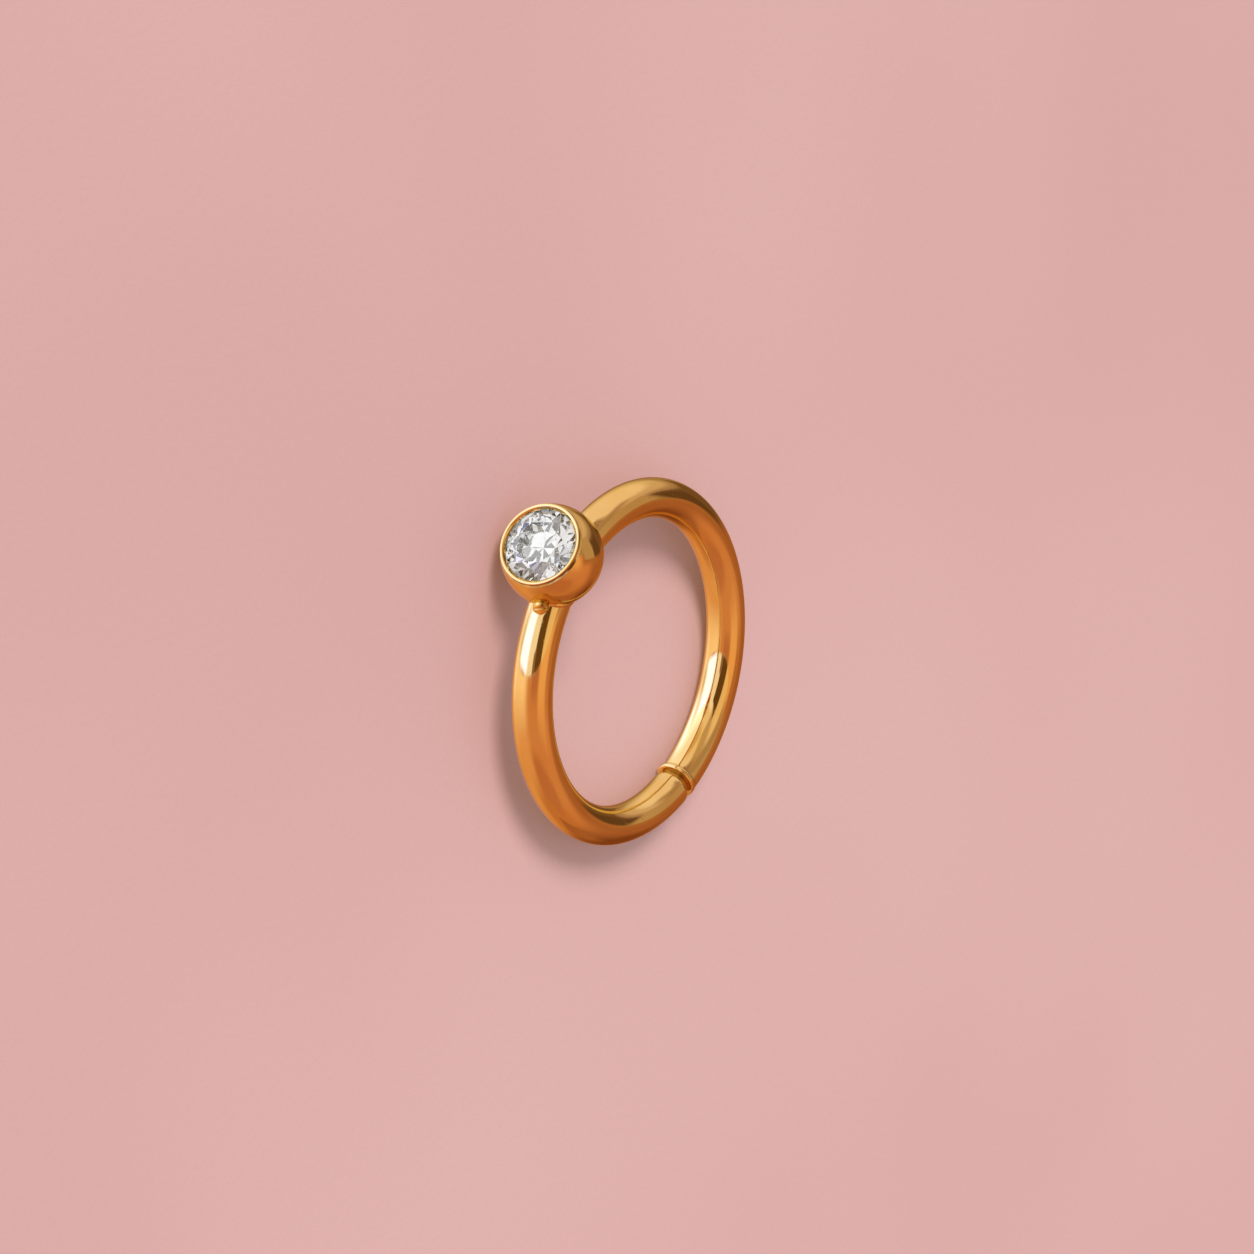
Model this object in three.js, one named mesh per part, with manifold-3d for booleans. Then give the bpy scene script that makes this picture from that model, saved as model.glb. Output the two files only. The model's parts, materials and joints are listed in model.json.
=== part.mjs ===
// A hoop nose pin: a round gold wire hoop with a bead-shaped bezel that holds one round brilliant.
//
// Units are millimetres and +Z is up. The pin lies on its side as it comes to rest on a table:
// on the bezel's flank and on the far side of the hoop. The stone faces -Y.
// The shapes are first made in the hoop's own frame, with the hoop's centre at the origin, its
// axis along +Z and the bezel towards -Y, and the finished pin is then tipped and set down.

import * as THREE from 'three';
import { ConvexGeometry } from 'three/addons/geometries/ConvexGeometry.js';
import { ConvexHull } from 'three/addons/math/ConvexHull.js';
import { mergeVertices } from 'three/addons/utils/BufferGeometryUtils.js';
import Module from 'manifold-3d';

// Hoop: a 1.1 mm wire bent to an inner diameter of 8.1 mm.
const HOOP_RADIUS = 4.6; // to the middle of the wire
const WIRE_RADIUS = 0.55;
const WIRE_SIDES = 18;
const WIRE_STEPS = 84;

// Split: one end of the wire is a thin post that springs into a socket in the other end.
const SPLIT_ANGLE = THREE.MathUtils.degToRad(71.65); // round the hoop from +X
const SPLIT_GAP = 0.18;
const SOCKET_RADIUS = 0.33;
const SOCKET_DEPTH = 1.25;
const POST_RADIUS = 0.27;
const POST_REACH = 1.0; // how far the post goes into the socket
const POST_CHAMFER = 0.06;
const SHOULDER_ROUND = 0.1; // rounding of the wire's edge round the neck
const NECK_RADIUS = 0.42; // of the post's root, which nearly fills the split
const NECK_CLEARANCE = 0.03; // from the neck to the socket's end
const ROUND_STEPS = 3;

// Lip: the socket end is swaged out into a thin lip that stands proud towards the hoop's centre.
const LIP_HEIGHT = 0.036;
const LIP_WIDTH = 0.16;
const LIP_EDGE = 0.025;

// Bezel: a bead, cut off flat by the rim in front and rounded behind where the wire passes.
const RIM_DISTANCE = 6.09; // from the hoop's centre to the middle of the rim
const BEZEL_TURN = THREE.MathUtils.degToRad(10.5); // in the hoop's plane, towards the post's end
const BEZEL_LEAN = THREE.MathUtils.degToRad(5.7); // out of the hoop's plane, towards its upper side
const BEAD_RADIUS = 1.38;
const BEAD_FRONT = 0.92; // from the rim back to the bead's widest ring
const BEAD_FRONT_CURVE = 1.6; // semi-axis of the front's ellipse
const BEAD_BACK = 1.2; // semi-axis of the back's ellipse
const BEAD_SIDES = 40;
const BEAD_BACK_STEPS = 8;
const BEAD_FRONT_STEPS = 6;
const RIM_OUTER = 1.145;
const RIM_INNER = 1.08;
const RIM_ROUND = 0.04;

// Stone: a round brilliant of 2.1 mm, with its girdle held under the rim.
const STONE_RADIUS = 1.05;
const TABLE_RADIUS = 0.6;
const CROWN_ANGLE = THREE.MathUtils.degToRad(34.5);
const PAVILION_ANGLE = THREE.MathUtils.degToRad(40.8);
const STAR_LENGTH = 0.5; // share of the way from the table's edge to the girdle
const LOWER_HALF_LENGTH = 0.78; // share of the way from the girdle to the culet
const GIRDLE_DEPTH = 0.2; // of the girdle's front edge, behind the rim
const GIRDLE_THICKNESS = 0.035;
const GIRDLE_POINTS = 32;
const FOLD = 8; // mains round the stone

// Seat: the hollow that holds the stone, clear of it all round.
const SEAT_GAP = 0.035;
const LIP_OVERHANG = 1.005; // radius of the opening where the metal closes over the girdle
const OVERHANG_DEPTH = 0.13;
const OVERHANG_BACK = 0.165;

// Solder: a low ridge where the wire on the post's side enters the bead, and a pointed nub on it.
const RIDGE_HEIGHT = 0.03;
const RIDGE_WIDTH = 0.05;
const RIDGE_REACH = THREE.MathUtils.degToRad(24); // wire taken in, round the hoop from the bezel
const RIDGE_STEPS = 8;
const NUB_ANGLE = THREE.MathUtils.degToRad(-75.7); // of the nub's crease, round the hoop from +X
const NUB_ROUND = THREE.MathUtils.degToRad(14); // round the wire, from its outside to its upper side
const NUB_ROOT = 0.15; // how deep the nub's base is let into the wire
const NUB_TWIST = THREE.MathUtils.degToRad(18); // of its point, from the wire's run to its upper side
const NUB_OUTLINE = [
  { along: -0.2, across: 0.15, height: 0.07 },
  { along: -0.02, across: 0.22, height: 0.02 },
  { along: 0.0, across: 0.1, height: 0.13 },
  { along: 0.22, across: 0.02, height: 0.0 },
];

// Finish and weight.
const GOLD_COLOUR = 0xe3a84c;
const STONE_COLOUR = 0xf4f6f8;
const GOLD_DENSITY = 13.1; // mg per cubic millimetre, 14 carat
const STONE_DENSITY = 3.5;
const LYING = 0.9; // least downward share of the normal of a face that the pin can lie on

const wasm = await Module();
wasm.setup();

// A closed geometry as a solid that can be joined and cut.
function solidFrom(geometry) {
  const bare = geometry.index ? geometry.toNonIndexed() : geometry.clone();
  bare.deleteAttribute('normal');
  bare.deleteAttribute('uv');
  const merged = mergeVertices(bare, 1e-5);
  const mesh = new wasm.Mesh({
    numProp: 3,
    vertProperties: new Float32Array(merged.attributes.position.array),
    triVerts: new Uint32Array(withoutSlivers(merged.index.array)),
  });
  return new wasm.Manifold(mesh);
}

// The triangles whose three corners differ: turned shapes leave collapsed ones on their axis.
function withoutSlivers(index) {
  const kept = [];
  for (let i = 0; i < index.length; i += 3) {
    const [a, b, c] = index.slice(i, i + 3);
    if (a !== b && b !== c && c !== a) kept.push(a, b, c);
  }
  return kept;
}

// The geometry of a solid.
function geometryFrom(solid) {
  const mesh = solid.getMesh();
  const geometry = new THREE.BufferGeometry();
  geometry.setAttribute('position', new THREE.BufferAttribute(mesh.vertProperties, 3));
  geometry.setIndex(new THREE.BufferAttribute(mesh.triVerts, 1));
  geometry.computeVertexNormals();
  return geometry;
}

// Points of a profile from radius and height pairs.
function profile(pairs) {
  return pairs.map(([radius, height]) => new THREE.Vector2(radius, height));
}

// The wire as a straight turned rod along +Y: the socket's mouth at y = 0, the post's tip at the top.
function rodProfile() {
  const shoulder = HOOP_RADIUS * 2 * Math.PI - SPLIT_GAP;
  const neckEnd = shoulder + SPLIT_GAP - NECK_CLEARANCE;
  const tip = shoulder + SPLIT_GAP + POST_REACH;
  const lipRadius = WIRE_RADIUS + LIP_HEIGHT;
  const points = [
    [0, SOCKET_DEPTH],
    [SOCKET_RADIUS, SOCKET_DEPTH],
    [SOCKET_RADIUS, SOCKET_DEPTH / 2],
    [SOCKET_RADIUS, 0],
    [lipRadius - LIP_EDGE, 0],
    [lipRadius, LIP_EDGE],
    [lipRadius, LIP_WIDTH - LIP_EDGE],
    [WIRE_RADIUS, LIP_WIDTH],
  ];
  const bodyEnd = shoulder - SHOULDER_ROUND;
  for (let i = 1; i <= WIRE_STEPS; i += 1) {
    points.push([WIRE_RADIUS, THREE.MathUtils.lerp(LIP_WIDTH, bodyEnd, i / WIRE_STEPS)]);
  }
  for (let i = 1; i <= ROUND_STEPS; i += 1) {
    const turn = (i / ROUND_STEPS) * (Math.PI / 2);
    const radius = WIRE_RADIUS - SHOULDER_ROUND * (1 - Math.cos(turn));
    points.push([radius, bodyEnd + SHOULDER_ROUND * Math.sin(turn)]);
  }
  points.push([NECK_RADIUS, shoulder]);
  points.push([NECK_RADIUS, neckEnd]);
  points.push([POST_RADIUS, neckEnd]);
  points.push([POST_RADIUS, (neckEnd + tip) / 2]);
  points.push([POST_RADIUS, tip - POST_CHAMFER]);
  points.push([POST_RADIUS - POST_CHAMFER, tip]);
  points.push([0, tip]);
  return profile(points);
}

// Moves what stands proud of the rod towards the hoop's centre, until it is flush on the outside.
function leanLipInwards(geometry) {
  const position = geometry.attributes.position;
  for (let i = 0; i < position.count; i += 1) {
    const proud = Math.hypot(position.getX(i), position.getZ(i)) - WIRE_RADIUS;
    position.setX(i, position.getX(i) - Math.max(0, proud));
  }
  return geometry;
}

// Bends a rod that stands along +Y onto the hoop's centre line, from an angle round the hoop.
function bendIntoHoop(geometry, startAngle) {
  const position = geometry.attributes.position;
  for (let i = 0; i < position.count; i += 1) {
    const angle = startAngle + position.getY(i) / HOOP_RADIUS;
    const radius = HOOP_RADIUS + position.getX(i);
    position.setXYZ(i, radius * Math.cos(angle), radius * Math.sin(angle), position.getZ(i));
  }
  return geometry;
}

// The split hoop: lip and socket at one end, shoulder, neck and post at the other.
function makeWire() {
  const rod = new THREE.LatheGeometry(rodProfile(), WIRE_SIDES);
  const start = SPLIT_ANGLE + SPLIT_GAP / 2 / HOOP_RADIUS;
  return solidFrom(bendIntoHoop(leanLipInwards(rod), start));
}

// Moves a shape turned about +Y, with the rim at y = 0, to the bezel's place.
function placeAtBezel(geometry) {
  const axis = new THREE.Vector3(
    Math.sin(BEZEL_TURN) * Math.cos(BEZEL_LEAN),
    -Math.cos(BEZEL_TURN) * Math.cos(BEZEL_LEAN),
    Math.sin(BEZEL_LEAN),
  );
  const turn = new THREE.Quaternion().setFromUnitVectors(new THREE.Vector3(0, 1, 0), axis);
  geometry.applyQuaternion(turn);
  geometry.translate(0, -RIM_DISTANCE, 0);
  return geometry;
}

// The bead's outline from the middle of its back to the middle of its rim, grown by a margin.
function beadProfile(grown) {
  const points = [];
  for (let i = 0; i <= BEAD_BACK_STEPS; i += 1) {
    const turn = (i / BEAD_BACK_STEPS) * (Math.PI / 2);
    const height = -BEAD_FRONT - (BEAD_BACK + grown) * Math.cos(turn);
    points.push([(BEAD_RADIUS + grown) * Math.sin(turn), height]);
  }
  const frontEnd = -RIM_ROUND;
  for (let i = 1; i <= BEAD_FRONT_STEPS; i += 1) {
    const height = THREE.MathUtils.lerp(-BEAD_FRONT, frontEnd, i / BEAD_FRONT_STEPS);
    const share = (height + BEAD_FRONT) / BEAD_FRONT_CURVE;
    points.push([(BEAD_RADIUS + grown) * Math.sqrt(1 - share * share), height]);
  }
  points.push([RIM_OUTER, 0]);
  points.push([RIM_INNER, 0]);
  points.push([0, 0]);
  return profile(points);
}

// The solid bead, before the seat is cut.
function makeBead(grown = 0) {
  return solidFrom(placeAtBezel(new THREE.LatheGeometry(beadProfile(grown), BEAD_SIDES)));
}

// The hollow for the stone: the opening, the groove for the girdle and the cone of the pavilion.
function makeSeatCut() {
  const slope = (RIM_INNER - LIP_OVERHANG) / OVERHANG_DEPTH;
  const above = 0.1; // how far the cut runs out in front of the rim
  const grooveRadius = STONE_RADIUS + SEAT_GAP;
  const drop = SEAT_GAP / Math.cos(PAVILION_ANGLE);
  const girdleBack = GIRDLE_DEPTH + GIRDLE_THICKNESS;
  const tan = Math.tan(PAVILION_ANGLE);
  const points = [
    [0, -(girdleBack + STONE_RADIUS * tan + drop)],
    [grooveRadius, -(girdleBack - SEAT_GAP * tan + drop)],
    [grooveRadius, -OVERHANG_BACK],
    [LIP_OVERHANG, -OVERHANG_DEPTH],
    [RIM_INNER + slope * above, above],
    [0, above],
  ];
  return solidFrom(placeAtBezel(new THREE.LatheGeometry(profile(points), BEAD_SIDES)));
}

// The solder ridge: a slightly thicker wire, kept only where it lies close to the bead.
function makeRidge() {
  const length = RIDGE_REACH * HOOP_RADIUS;
  const points = [[0, 0]];
  for (let i = 0; i <= RIDGE_STEPS; i += 1) {
    points.push([WIRE_RADIUS + RIDGE_HEIGHT, (i / RIDGE_STEPS) * length]);
  }
  points.push([0, length]);
  const sleeve = new THREE.LatheGeometry(profile(points), WIRE_SIDES);
  return solidFrom(bendIntoHoop(sleeve, -Math.PI / 2)).intersect(makeBead(RIDGE_WIDTH));
}

// The pointed nub on the wire under the bead, with a crease across it.
function makeNub() {
  const outward = new THREE.Vector3(Math.cos(NUB_ANGLE), Math.sin(NUB_ANGLE), 0);
  const proud = outward.clone().multiplyScalar(Math.cos(NUB_ROUND));
  proud.z = Math.sin(NUB_ROUND);
  const along = new THREE.Vector3(-Math.sin(NUB_ANGLE), Math.cos(NUB_ANGLE), 0);
  along.applyAxisAngle(proud, NUB_TWIST);
  const across = new THREE.Vector3().crossVectors(proud, along);
  const foot = outward.clone().multiplyScalar(HOOP_RADIUS).addScaledVector(proud, WIRE_RADIUS);
  const points = [];
  for (const corner of NUB_OUTLINE) {
    for (const side of [-1, 1]) {
      for (const height of [corner.height, -NUB_ROOT]) {
        const point = foot.clone().addScaledVector(along, corner.along);
        point.addScaledVector(across, side * corner.across).addScaledVector(proud, height);
        points.push(point);
      }
    }
  }
  return solidFrom(new ConvexGeometry(points));
}

// All the metal, which is soldered into one piece.
function makeGold() {
  return makeWire().add(makeBead()).add(makeRidge()).add(makeNub()).subtract(makeSeatCut());
}

// The round brilliant, as the hull of its corners: table, stars, girdle, lower halves and culet.
function makeStone() {
  const points = [];
  const ring = (radius, depth, count, offset) => {
    for (let i = 0; i < count; i += 1) {
      const turn = ((i + offset) / count) * 2 * Math.PI;
      points.push(new THREE.Vector3(radius * Math.cos(turn), -depth, radius * Math.sin(turn)));
    }
  };
  const half = Math.cos(Math.PI / FOLD);
  const crownRise = (reach) => (STONE_RADIUS - reach) * Math.tan(CROWN_ANGLE);
  const pavilionDrop = (reach) => (STONE_RADIUS - reach) * Math.tan(PAVILION_ANGLE);
  const tableEdge = TABLE_RADIUS * half;
  const starRadius = THREE.MathUtils.lerp(tableEdge, STONE_RADIUS, STAR_LENGTH);
  const lowerRadius = STONE_RADIUS * (1 - LOWER_HALF_LENGTH);
  const girdleBack = GIRDLE_DEPTH + GIRDLE_THICKNESS;
  ring(TABLE_RADIUS, GIRDLE_DEPTH - crownRise(TABLE_RADIUS), FOLD, 0);
  ring(starRadius, GIRDLE_DEPTH - crownRise(starRadius * half), FOLD, 0.5);
  ring(STONE_RADIUS, GIRDLE_DEPTH, GIRDLE_POINTS, 0);
  ring(STONE_RADIUS, girdleBack, GIRDLE_POINTS, 0);
  ring(lowerRadius, girdleBack + pavilionDrop(lowerRadius * half), FOLD, 0.5);
  points.push(new THREE.Vector3(0, -(girdleBack + pavilionDrop(0)), 0));
  return solidFrom(placeAtBezel(new ConvexGeometry(points)));
}

// The common centre of mass of closed geometries, each with its density, from the pyramids that
// their triangles make with the origin.
function centreOfMass(pieces) {
  const middle = new THREE.Vector3();
  const [a, b, c] = [new THREE.Vector3(), new THREE.Vector3(), new THREE.Vector3()];
  let total = 0;
  for (const [geometry, density] of pieces) {
    const position = geometry.attributes.position;
    const index = geometry.index.array;
    for (let i = 0; i < index.length; i += 3) {
      [a, b, c].forEach((corner, k) => corner.fromBufferAttribute(position, index[i + k]));
      const mass = (density * a.dot(b.clone().cross(c))) / 6;
      middle.addScaledVector(a.add(b).add(c), mass / 4);
      total += mass;
    }
  }
  return middle.divideScalar(total);
}

// The direction that points down when the pin has come to rest: square to the face of its convex
// hull that lies nearest below its centre of mass.
function restingDown(gold, stone) {
  const hull = new ConvexHull().setFromObject(new THREE.Mesh(gold));
  const middle = centreOfMass([[gold, GOLD_DENSITY], [stone, STONE_DENSITY]]);
  const below = hull.faces.filter((face) => face.normal.z < -LYING);
  const height = (face) => -face.distanceToPoint(middle);
  return below.reduce((a, b) => (height(b) < height(a) ? b : a)).normal;
}

// Tips the group onto the side it rests on, sets it down on z = 0 and centres it on the origin.
function setDown(group, down) {
  group.quaternion.setFromUnitVectors(down, new THREE.Vector3(0, 0, -1));
  group.updateMatrixWorld(true);
  const box = new THREE.Box3().setFromObject(group, true);
  const centre = box.getCenter(new THREE.Vector3());
  group.position.set(-centre.x, -centre.y, -box.min.z);
}

// A named sub-part.
function named(name, geometry, finish) {
  const mesh = new THREE.Mesh(geometry, new THREE.MeshStandardMaterial(finish));
  mesh.name = name;
  return mesh;
}

const gold = geometryFrom(makeGold());
const stone = geometryFrom(makeStone());
const pin = new THREE.Group();
pin.add(named('hoop_with_bezel', gold, { color: GOLD_COLOUR, roughness: 0.12, metalness: 1 }));
pin.add(named('stone', stone, { color: STONE_COLOUR, roughness: 0.02, metalness: 0 }));
setDown(pin, restingDown(gold, stone));

export default pin;
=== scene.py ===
"""A hoop nose pin in polished gold: a split wire hoop, a bead bezel and one round brilliant.

Sizes are in millimetres in the hoop's own frame: the hoop's centre is the origin, its axis is +Z
and the bezel faces -Y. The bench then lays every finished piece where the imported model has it.
"""

import json
import logging
import math
from abc import ABC, abstractmethod
from collections.abc import Sequence
from dataclasses import dataclass
from enum import Enum
from functools import partial, reduce

import bmesh
import bpy
from mathutils import Matrix, Quaternion, Vector


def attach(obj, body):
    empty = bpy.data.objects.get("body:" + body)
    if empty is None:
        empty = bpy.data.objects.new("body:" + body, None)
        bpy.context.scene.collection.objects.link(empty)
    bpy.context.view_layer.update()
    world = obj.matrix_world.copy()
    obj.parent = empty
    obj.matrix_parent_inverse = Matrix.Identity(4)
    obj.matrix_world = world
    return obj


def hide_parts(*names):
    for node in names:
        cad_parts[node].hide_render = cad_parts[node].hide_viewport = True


MM = 0.001
SLACK = 0.01  # how far off its place a point still counts as there, in millimetres
MOST_EASE = 0.49  # the share of a side that a rounding may take, so that two never meet on it
Colour = tuple[float, float, float]
Triple = tuple[float, float, float]
Outline = list[tuple[float, float]]
Socket = bpy.types.NodeSocket
Value = Socket | Colour | float
Piece = bpy.types.Object
Solid = bmesh.types.BMesh

log = logging.getLogger("nose_pin")
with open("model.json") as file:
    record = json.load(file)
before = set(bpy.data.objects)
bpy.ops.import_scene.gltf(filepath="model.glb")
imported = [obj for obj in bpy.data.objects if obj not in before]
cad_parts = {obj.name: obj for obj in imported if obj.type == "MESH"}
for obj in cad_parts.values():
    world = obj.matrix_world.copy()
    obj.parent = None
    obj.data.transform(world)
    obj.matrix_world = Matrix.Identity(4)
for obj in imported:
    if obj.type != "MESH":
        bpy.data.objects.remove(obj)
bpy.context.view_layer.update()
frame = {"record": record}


# ---- The bench: where things lie, and how outlines become closed shapes.


@dataclass(frozen=True)
class Bench:
    """Where the hoop lies on the table."""

    centre: Vector  # the hoop's centre, in metres
    turn: Quaternion  # tips the hoop from its own frame onto the side it rests on

    @classmethod
    def from_record(cls, record: dict) -> "Bench":
        """Reads the hoop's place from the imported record.

        Args:
            record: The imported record.

        Returns:
            The bench.
        """
        eye = next(m for m in record["mounts"] if m["name"] == "hoop_eye")
        axis = Vector(eye["axis"]).normalized()
        return cls(Vector(eye["pos_m"]), Vector((0.0, 0.0, 1.0)).rotation_difference(axis))

    def lay(self, mesh: bpy.types.Mesh) -> None:
        """Moves a mesh from the hoop's frame in millimetres to its place in metres."""
        place = Matrix.Translation(self.centre) @ self.turn.to_matrix().to_4x4()
        mesh.transform(place @ Matrix.Scale(MM, 4))


def rise(low: float, high: float, value: float) -> float:
    """Goes smoothly from 0 at low to 1 at high, whichever of them is larger."""
    t = min(1.0, max(0.0, (value - low) / (high - low)))
    return t * t * (3 - 2 * t)


def bow(start: Vector, pull: Vector, end: Vector, steps: int) -> list[Vector]:
    """A curve from start to end that is drawn towards pull, as points some steps apart."""
    shares = [k / steps for k in range(steps + 1)]
    return [start * (1 - t) ** 2 + pull * (2 * t * (1 - t)) + end * t**2 for t in shares]


@dataclass(frozen=True)
class Corner:
    """A corner of a turned outline."""

    radius: float  # distance from the axis
    along: float  # place along the axis
    ease: float = 0.0  # how far its rounding reaches along both its sides


def eased(corners: Sequence[Corner], steps: int = 5) -> Outline:
    """Rounds the corners of an outline.

    Args:
        corners: The outline's corners in order, of which the first and last have no ease.
        steps: Short lines in each rounding.

    Returns:
        Pairs of radius and place along the axis.
    """
    points = []
    for i, corner in enumerate(corners):
        here = Vector((corner.radius, corner.along))
        if corner.ease == 0.0:
            points.append(here)
            continue
        sides = [Vector((corners[k].radius, corners[k].along)) - here for k in (i - 1, i + 1)]
        start, end = (here + s.normalized() * min(corner.ease, s.length * MOST_EASE) for s in sides)
        points += bow(start, here, end, steps)
    return [(p.x, p.y) for p in points]


def refined(points: Outline, longest: float) -> Outline:
    """Divides an outline until no stretch of it is too long.

    Args:
        points: Pairs of radius and place along the axis.
        longest: The longest stretch that stays whole.

    Returns:
        The finer outline.
    """
    fine = [points[0]]
    for (r0, a0), (r1, a1) in zip(points, points[1:]):
        count = max(1, math.ceil(math.hypot(r1 - r0, a1 - a0) / longest))
        shares = [k / count for k in range(1, count + 1)]
        fine += [(r0 + (r1 - r0) * t, a0 + (a1 - a0) * t) for t in shares]
    return fine


def skin(shape: Solid, rings: Sequence[Sequence[bmesh.types.BMVert]]) -> None:
    """Joins each ring of points to the next, closes open ends and turns the faces outwards.

    Args:
        shape: The shape that the points belong to.
        rings: The rings in order, all of one length but for those that are a single point.
    """
    for end in (rings[0], rings[-1]):
        if len(end) > 2 and rings[0] is not rings[-1]:
            shape.faces.new(end)
    for first, second in zip(rings, rings[1:]):
        for k in range(max(len(first), len(second))):
            a, b = first[k % len(first)], first[(k + 1) % len(first)]
            c, d = second[(k + 1) % len(second)], second[k % len(second)]
            shape.faces.new(list(dict.fromkeys((a, b, c, d))))
    bmesh.ops.recalc_face_normals(shape, faces=shape.faces)


class Layer(Enum):
    """What a piece's points remember for its finish."""

    STOCK = "stock"  # where they were in the stock, before it was bent
    PAINTED_SHADE = "painted_shade"  # how much painted shade darkens a point, from 0 to 1


class Stock:
    """A shape in the making, whose points remember where they were and how much painted shade they
    get.
    """

    def __init__(self) -> None:
        """Starts with no points."""
        self.shape = bmesh.new()
        self.places = self.shape.verts.layers.float_vector.new(Layer.STOCK.value)
        self.painted_shade = self.shape.verts.layers.float.new(Layer.PAINTED_SHADE.value)

    def point(self, at: Vector, place: Vector, painted_shade: float) -> bmesh.types.BMVert:
        """Adds a point.

        Args:
            at: Where it is in the hoop's frame.
            place: Where it was in the stock.
            painted_shade: How much painted shade darkens it.

        Returns:
            The point.
        """
        vert = self.shape.verts.new(at)
        vert[self.places] = place
        vert[self.painted_shade] = painted_shade
        return vert


class Slot(Enum):
    """The record's material slots."""

    GOLD = "gold"
    STONE = "stone"


class CadPart(Enum):
    """The model's own solids that the finished pieces stand for."""

    METAL = "hoop_with_bezel"
    STONE = "stone"


class Part(ABC):
    """A sub-assembly of the pin, which is built as one piece and then dressed."""

    name: str
    slot = Slot.GOLD
    stands_for = CadPart.METAL
    crease: float | None = 35.0  # edges sharper than this stay sharp; None keeps every facet flat

    @abstractmethod
    def shaped(self) -> Solid:
        """Makes the closed shape in the hoop's frame."""

    @abstractmethod
    def dress(self, piece: Piece) -> None:
        """Gives the piece its finish."""

    def build(self, bench: Bench) -> Piece:
        """Makes the shape into a piece that lies on the bench and rides with the pin.

        Args:
            bench: Where the pin lies.

        Returns:
            The piece.
        """
        shape = self.shaped()
        mesh = bpy.data.meshes.new(self.name)
        shape.to_mesh(mesh)
        shape.free()
        bench.lay(mesh)
        if self.crease is None:
            mesh.shade_flat()
        else:
            mesh.shade_smooth()
            mesh.set_sharp_from_angle(angle=math.radians(self.crease))
        piece = bpy.data.objects.new(self.name, mesh)
        bpy.context.scene.collection.objects.link(piece)
        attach(piece, "root")
        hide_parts(self.stands_for.value)
        return piece


class TurnedPart(Part):
    """A part that is turned round an axis from its outline."""

    sides: int  # points in each ring

    @abstractmethod
    def outline(self) -> Outline:
        """Pairs of radius and place along the axis; a radius of 0 closes the shape."""

    @abstractmethod
    def place(self, turn: float, radius: float, along: float) -> Vector:
        """Where a point of the stock ends up in the hoop's frame."""

    @abstractmethod
    def painted_shade(self, stock: Vector) -> float:
        """How much painted shade a point of the stock gets, from 0 to 1."""

    def shaped(self) -> Solid:
        """Turns the outline.

        Returns:
            The closed shape.
        """
        work = Stock()
        rings = []
        for radius, along in self.outline():
            ring = []
            for k in range(self.sides if radius > 0.0 else 1):
                turn = 2 * math.pi * k / self.sides
                stock = Vector((radius * math.cos(turn), radius * math.sin(turn), along))
                at = self.place(turn, radius, along)
                ring.append(work.point(at, stock, self.painted_shade(stock)))
            rings.append(ring)
        skin(work.shape, rings)
        return work.shape


# ---- Finishes.


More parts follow.
